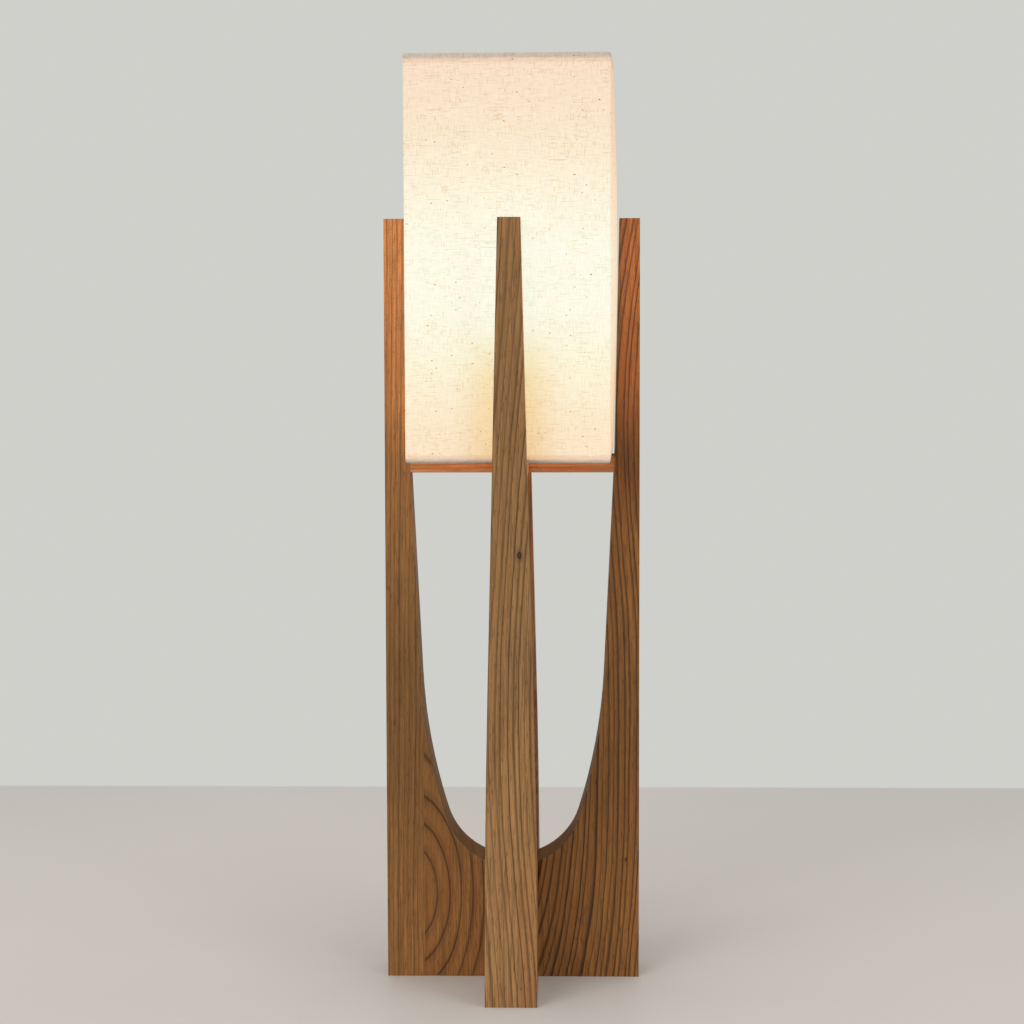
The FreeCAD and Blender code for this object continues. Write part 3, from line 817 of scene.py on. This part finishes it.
def stations(stretches):
    """Places along the cloth, from (length, steps) stretches laid end to end."""
    places = [0.0]
    for length, steps in stretches:
        start = places[-1]
        places += [start + length * (step + 1) / steps for step in range(steps)]
    return places


def round_place(run):
    """Where a run round the shade's outline is: its point, its outward direction, and its bow."""
    run = run % round_length
    side = int(run // (side_length + corner_length))
    along = run - side * (side_length + corner_length)
    if along < side_length:
        point = Vector((shade_half, along - side_length / 2, 0))
        out = Vector((1, 0, 0))
        bow = 1 - (2 * along / side_length - 1) ** 2
    else:
        angle = (along - side_length) / shade_corner
        out = Vector((math.cos(angle), math.sin(angle), 0))
        point = Vector((1, 1, 0)) * (shade_half - shade_corner) + shade_corner * out
        bow = 0.0
    turn = Matrix.Rotation(side * math.pi / 2 + shade_turn, 3, "Z")
    return turn @ point, turn @ out, bow


def rise_place(rise):
    """How far in from the wall's outer face, and how high, a place up the cloth is."""
    if rise > cloth_length / 2:
        depth, height = rise_place(cloth_length - rise)
        return depth, shade_high + shade_low - height
    if rise < hem_length:
        gather = (1 - rise / hem_length) ** 0.5
        depth = 2 * roll_radius - (2 * roll_radius - hem_depth) * gather
        return depth, shade_low + roll_radius + hem_length - rise
    if rise < hem_length + roll_length:
        angle = (rise - hem_length) / roll_radius
        depth = roll_radius + roll_radius * math.cos(angle)
        return depth, shade_low + roll_radius - roll_radius * math.sin(angle)
    return 0.0, shade_low + roll_radius + rise - hem_length - roll_length


def linen_mesh():
    """The flat sheet, bent to its place round the rings."""
    columns = stations([(corner_length, 6), (side_length, 26)] * 4 + [(lap_length, 4)])
    rows = stations([
        (hem_length, 4), (roll_length, 8), (wall_length, 96), (roll_length, 8), (hem_length, 4),
    ])
    shape = bmesh.new()
    bmesh.ops.create_grid(shape, x_segments=len(columns) - 1, y_segments=len(rows) - 1, size=1)
    laid = shape.verts.layers.float_vector.new("laid")
    for vert in shape.verts:
        run = columns[round((vert.co.x + 1) / 2 * (len(columns) - 1))]
        rise = rows[round((vert.co.y + 1) / 2 * (len(rows) - 1))]
        vert[laid] = Vector((run, rise, 0))
        point, out, bow = round_place(cloth_start + run)
        depth, height = rise_place(rise)
        share = (height - shade_low) / (shade_high - shade_low)
        lapped = min(1, max(0, (run - round_length + lap_rise) / lap_rise))
        proud = shade_bow * bow * 4 * share * (1 - share) - depth + lapped * cloth_thickness
        proud += cloth_unevenness * noise.noise(Vector((run * 60, rise * 60, 3.0)))
        vert.co = point + out * proud + Vector((shade_offset, 0, height))
    bmesh.ops.recalc_face_normals(shape, faces=shape.faces)
    cloth = shape.loops.layers.uv.new("cloth")
    for face in shape.faces:
        for corner in face.loops:
            corner[cloth].uv = corner.vert[laid].xy
    mesh = bpy.data.meshes.new("linen_shade")
    shape.to_mesh(mesh)
    shape.free()
    mesh.shade_smooth()
    return mesh


def linen_finish():
    """Undyed slubbed linen, lit from inside: plain weave, thick and thin threads, and brown specks."""
    fixed = {"Roughness": 0.9, "Specular IOR Level": 0.15, "Emission Strength": 1.0}
    material, shader, adds = finish("linen_finish", fixed)
    cloth = adds.node("ShaderNodeUVMap", {"uv_map": "cloth"}, {})
    run, rise, _ = cloth.parts()

    def threads(scale_run, scale_rise, detail=1.0):
        """Noise drawn out along the threads of one direction."""
        return adds.noise(adds.stretched(cloth, (scale_run, scale_rise, 1)), 1.0, detail)

    weave = (threads(60, 1500, 2.0) + threads(1500, 60, 2.0)) * 0.5
    patches = adds.noise(cloth, 40.0, 2.0).step(0.35, 0.65)
    slubs = threads(100, 850).step(0.57, 0.69) + threads(850, 120).step(0.58, 0.70)
    slubs = slubs * (patches * 0.7 + 0.3) + threads(34, 800, 0.0).step(0.74, 0.80)
    slubs = adds.math("MINIMUM", slubs, 1.0)
    specks = threads(260, 420, 0.0).step(0.815, 0.84) + threads(480, 620, 0.0).step(0.815, 0.85) * patches
    specks = adds.math("MINIMUM", specks, 1.0)

    rolled = hem_length + roll_length
    wobble = threads(70, 300, 2.0) * 0.003 - 0.0015
    from_bottom = rise - (rolled + unlit_bottom)
    from_top = cloth_length - rolled - unlit_top - rise
    inset = adds.math("MINIMUM", from_bottom, from_top) + wobble
    lit = inset.step(lit_start, lit_full)
    fold = inset.step(fold_end, fold_full)
    base = adds.mix(weave.step(0.3, 0.7), colour(184, 169, 155), colour(200, 186, 173))
    # Painted: where the cloth glows its base colour is darker, so outside light and shadows show less on
    # it.
    base = adds.mix(lit * 0.6, base, colour(60, 54, 48))
    base = adds.mix(slubs * 0.45, base, colour(166, 134, 104))
    base = adds.mix(specks * 0.75, base, colour(84, 62, 44))

    x_place, y_place, height = adds.place().parts()
    share = (height - shade_low) / (shade_high - shade_low)
    glow = adds.ramp(share, [
        (0.00, colour(228, 206, 174)),
        (0.12, colour(229, 214, 182)),
        (0.24, colour(229, 226, 199)),
        (0.38, colour(229, 232, 213)),
        (0.52, colour(229, 233, 215)),
        (0.66, colour(228, 224, 201)),
        (0.81, colour(225, 209, 182)),
        (0.95, colour(222, 200, 175)),
    ])
    aside = adds.math("MINIMUM", adds.math("ABSOLUTE", x_place), adds.math("ABSOLUTE", y_place))
    # Painted reflection: low down beside each upright the glow turns orange, lit by the warm wood.
    painted_wood_bounce = aside.step(*wood_bounce_width) * share.step(*wood_bounce_height)
    glow = adds.mix(painted_wood_bounce, glow, (0.98, 0.83, 0.60, 1), "MULTIPLY")
    # Painted light: the glow is raised beside each upright, against the upright's shadow on the cloth.
    painted_light_by_upright = aside.step(*upright_light_width) * share.step(*upright_light_height)
    glow = adds.mix(painted_light_by_upright, glow, (1.05, 1.08, 1.09, 1), "MULTIPLY")
    glow = adds.mix(fold * 0.9, glow, (0.88, 0.76, 0.74, 1), "MULTIPLY")
    glow = adds.mix(slubs * (share.step(0.55, 0.85) * 0.3 + 0.7), glow, (0.74, 0.68, 0.54, 1), "MULTIPLY")
    glow = adds.mix(specks * 0.8, glow, (0.30, 0.22, 0.14, 1), "MULTIPLY")
    grazing = adds.node("ShaderNodeLayerWeight", {}, {"Blend": 0.5}, "Facing")
    glow = adds.mix(grazing.step(0.78, 0.96), glow, (1.02, 0.80, 0.68, 1), "MULTIPLY")
    seam = 1 - run.step(round_length - lap_rise, round_length) * 0.35
    light = adds.mix(lit * seam * (weave * 0.36 + 0.76), (0, 0, 0, 1), glow)
    relief = adds.bump(weave + slubs * 0.5, 0.5, 0.0004)
    feed(shader, {"Base Color": base, "Emission Color": light, "Normal": relief})
    return material


linen = new_piece("linen_shade", linen_mesh(), linen_finish())
thick = linen.modifiers.new("cloth_thickness", "SOLIDIFY")
thick.thickness = cloth_thickness
thick.offset = -1
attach(linen, "shade")
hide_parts("shade_fabric")


# Lining and rings of the shade
# A thin white plastic sheet is laminated to the inside of the linen and keeps it stiff. Two rings of
# white coated wire, bent square, are rolled into the edges.

lining_brightness = 0.8
lining_finish = grained_finish(
    "lining_finish", colour(240, 234, 222), {"Roughness": 0.35}, 0.002, 0.02, 0.05
)
lining_shader = lining_finish.node_tree.nodes["Principled BSDF"]
lining_adds = Signal(lining_finish.node_tree)
lining_share = (lining_adds.place().parts()[2] - shade_low) / (shade_high - shade_low)
lining_glow = lining_adds.ramp(lining_share, [
    (0.00, colour(190, 140, 96)),
    (0.30, colour(226, 200, 160)),
    (0.50, colour(228, 206, 170)),
    (1.00, colour(180, 146, 112)),
])
feed(lining_shader, {"Emission Color": lining_glow})
lining_shader.inputs["Emission Strength"].default_value = lining_brightness
dress("shade_lining", lining_finish)
wire_finish = grained_finish("wire_finish", colour(226, 226, 222), {"Roughness": 0.4}, 0.001)
dress("top_ring", wire_finish)
dress("bottom_ring", wire_finish)


# Glow of the shade
# The lit shade warms the uprights and the bars beside it. Strips of light stand just outside each
# wall, on both sides of its upright and dimmer lower down. A square one faces down in the opening.

glow_colour = (1.0, 0.62, 0.52)
glow_inset = 0.0062
glow_near, glow_far = 0.016, 0.088
glow_steps = [(0.660, 0.885, 8.1), (0.570, 0.660, 5.0), (0.520, 0.570, 2.4)]
opening_light = 2.8
shade_place = Matrix.Translation((shade_offset, 0, 0)) @ Matrix.Rotation(shade_turn, 4, "Z")


def glow_lamp(name, width, height, brightness, place):
    """A warm lamp of some watts a square metre that shines along its own -Z and moves with the shade."""
    data = bpy.data.lights.new(name, "AREA")
    data.shape = "RECTANGLE"
    data.size = width
    data.size_y = height
    data.energy = brightness * width * height
    data.color = glow_colour
    lamp = bpy.data.objects.new(name, data)
    lamp.matrix_world = shade_place @ place
    lamp.visible_camera = False
    bpy.context.scene.collection.objects.link(lamp)
    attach(lamp, "shade")


outwards = Matrix.Rotation(-math.pi / 2, 4, "Y") @ Matrix.Rotation(math.pi / 2, 4, "Z")
for quarter in range(4):
    around = Matrix.Rotation(quarter * math.pi / 2, 4, "Z")
    for hand in (-1, 1):
        for low, high, brightness in glow_steps:
            middle = Vector((shade_half + glow_inset, hand * (glow_near + glow_far) / 2, (low + high) / 2))
            place = around @ Matrix.Translation(middle) @ outwards
            glow_lamp("wall_glow", glow_far - glow_near, high - low, brightness, place)
opening = Matrix.Translation((0, 0, shade_low + roll_radius))
glow_lamp("opening_glow", side_length, side_length, opening_light, opening)
